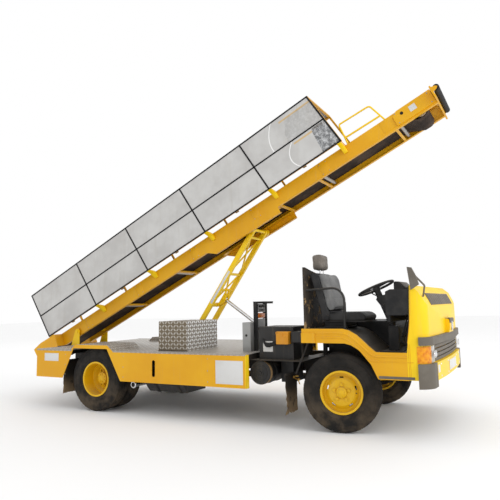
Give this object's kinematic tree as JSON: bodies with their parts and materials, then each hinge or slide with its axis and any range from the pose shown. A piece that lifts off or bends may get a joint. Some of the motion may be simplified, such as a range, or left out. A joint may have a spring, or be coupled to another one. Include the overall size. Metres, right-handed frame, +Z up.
{
  "type": "baggage belt loader",
  "caption": "Open-cab service vehicle with a flat deck and a canopied belt boom, hinged at the rear and raised by a leaning frame and cylinder.",
  "frame": {"origin": "on the ground under the middle of the whole, halfway along its length and width", "axes": "+X forward, towards the cab, +Y to the driver's left, +Z up"},
  "size_m": [6.2117, 2.1, 3.7707],
  "materials": {
    "amber_paint": "worn gloss",
    "chassis_paint": "dusty satin",
    "deck_aluminium": "worn chequer plate",
    "bright_steel": "bright",
    "dark_steel": "satin",
    "grey_paint": "satin",
    "belt_rubber": "matt",
    "tyre_rubber": "matt",
    "black_plastic": "matt",
    "canopy_film": "hazy",
    "lamp_lens": "clear",
    "seat_cloth": "worn"
  },
  "bodies": {
    "vehicle": {"front_axle": "chassis_paint", "rear_axle": "chassis_paint", "springs": "chassis_paint", "drive_shaft": "chassis_paint", "chassis_rails": "chassis_paint", "cross_members": "chassis_paint", "spring_hangers": "chassis_paint", "frame_arms": "chassis_paint", "pivot_brackets": "bright_steel", "deck_sheets": "deck_aluminium", "deck_bearers": "chassis_paint", "skirts": "amber_paint", "deck_box": "deck_aluminium", "fenders": "amber_paint", "floor_pan": "dark_steel", "engine_cover": "black_plastic", "cowl": "amber_paint", "grille": "black_plastic", "lamps": "lamp_lens", "bumper_corners": "grey_paint", "bumper_face": "amber_paint", "dash": "black_plastic", "steering_column": "black_plastic", "seat": "seat_cloth", "backboard": "dark_steel", "side_hoop": "dark_steel", "door_mirror": "black_plastic", "engine_block": "dark_steel", "controls": "black_plastic", "side_boxes": "dark_steel", "tanks": "chassis_paint", "exhaust_pipe": "bright_steel", "mudflaps": "belt_rubber"},
    "wheel_front_right": {"tyre_front_right": "tyre_rubber", "rim_front_right": "amber_paint"},
    "wheel_front_left": {"tyre_front_left": "tyre_rubber", "rim_front_left": "amber_paint"},
    "knuckle_right": {"knuckle_right": "chassis_paint"},
    "knuckle_left": {"knuckle_left": "chassis_paint"},
    "tie_rod": {"tie_rod": "chassis_paint"},
    "wheels_rear_right": {"tyres_rear_right": "tyre_rubber", "rims_rear_right": "amber_paint"},
    "wheels_rear_left": {"tyres_rear_left": "tyre_rubber", "rims_rear_left": "amber_paint"},
    "steering_wheel": {"steering_wheel": "black_plastic"},
    "boom": {"girder_webs": "amber_paint", "girder_bars": "amber_paint", "belt": "belt_rubber", "drums_and_idlers": "bright_steel", "bumper_roller": "belt_rubber", "canopy_rails": "amber_paint", "canopy_posts": "amber_paint", "canopy_bows": "amber_paint", "canopy_sheets": "canopy_film", "canopy_roof": "grey_paint", "handrail": "amber_paint"},
    "lift_frame": {"lift_frame": "amber_paint"},
    "cylinder_barrel": {"cylinder_barrel": "amber_paint"},
    "cylinder_rod": {"cylinder_rod": "bright_steel"}
  },
  "joints": [
    {"name": "steer_right", "type": "hinge", "parent": "vehicle", "child": "knuckle_right", "pos_m": [2.01614, -0.7, 0.396], "axis": [0, 0, 1], "range_deg": [-45, 25]},
    {"name": "steer_left", "type": "hinge", "parent": "vehicle", "child": "knuckle_left", "pos_m": [2.01614, 0.7, 0.396], "axis": [0, 0, 1], "range_deg": [-45, 25]},
    {"name": "tie_rod_swing", "type": "hinge", "parent": "knuckle_right", "child": "tie_rod", "pos_m": [1.87827, -0.72431, 0.311], "axis": [0, 0, 1], "range_deg": [-25, 45]},
    {"name": "steering_wheel_turn", "type": "hinge", "parent": "vehicle", "child": "steering_wheel", "pos_m": [2.37814, -0.62, 1.435], "axis": [-0.3746, 0, 0.9272], "range_deg": [-675, 375]},
    {"name": "front_right_spin", "type": "hinge", "parent": "knuckle_right", "child": "wheel_front_right", "pos_m": [2.0381, -0.82458, 0.396], "axis": [-0.1736, 0.9848, 0], "continuous": true},
    {"name": "rear_right_spin", "type": "hinge", "parent": "vehicle", "child": "wheels_rear_right", "pos_m": [-1.17886, -0.772, 0.396], "axis": [0, 1, 0], "continuous": true},
    {"name": "front_left_spin", "type": "hinge", "parent": "knuckle_left", "child": "wheel_front_left", "pos_m": [1.99417, 0.82458, 0.396], "axis": [-0.1736, 0.9848, 0], "continuous": true},
    {"name": "rear_left_spin", "type": "hinge", "parent": "vehicle", "child": "wheels_rear_left", "pos_m": [-1.17886, 0.772, 0.396], "axis": [0, 1, 0], "continuous": true},
    {"name": "boom_raise", "type": "hinge", "parent": "vehicle", "child": "boom", "pos_m": [-2.22686, 0, 0.951], "axis": [0, -1, 0], "range_deg": [-15.4, 2.8]},
    {"name": "lift_frame_swing", "type": "hinge", "parent": "vehicle", "child": "lift_frame", "pos_m": [-0.27686, 0, 0.851], "axis": [0, -1, 0], "range_deg": [-33.3, 6.3]},
    {"name": "cylinder_swing", "type": "hinge", "parent": "vehicle", "child": "cylinder_barrel", "pos_m": [1.13314, 0, 0.701], "axis": [0, -1, 0], "range_deg": [-1.8, 8.3]},
    {"name": "rod_slide", "type": "slide", "parent": "cylinder_barrel", "child": "cylinder_rod", "axis": [-0.8221, 0, 0.5693], "range_m": [-0.361, 0.068]}
  ],
  "couplings": [
    {"joint": "steer_left", "follows": "steer_right", "ratio": 1},
    {"joint": "tie_rod_swing", "follows": "steer_right", "ratio": -1},
    {"joint": "steering_wheel_turn", "follows": "steer_right", "ratio": 15},
    {"joint": "lift_frame_swing", "follows": "boom_raise", "ratio": 2.1419},
    {"joint": "cylinder_swing", "follows": "boom_raise", "ratio": -0.52},
    {"joint": "rod_slide", "follows": "boom_raise", "m_per_rad": 1.329}
  ]
}
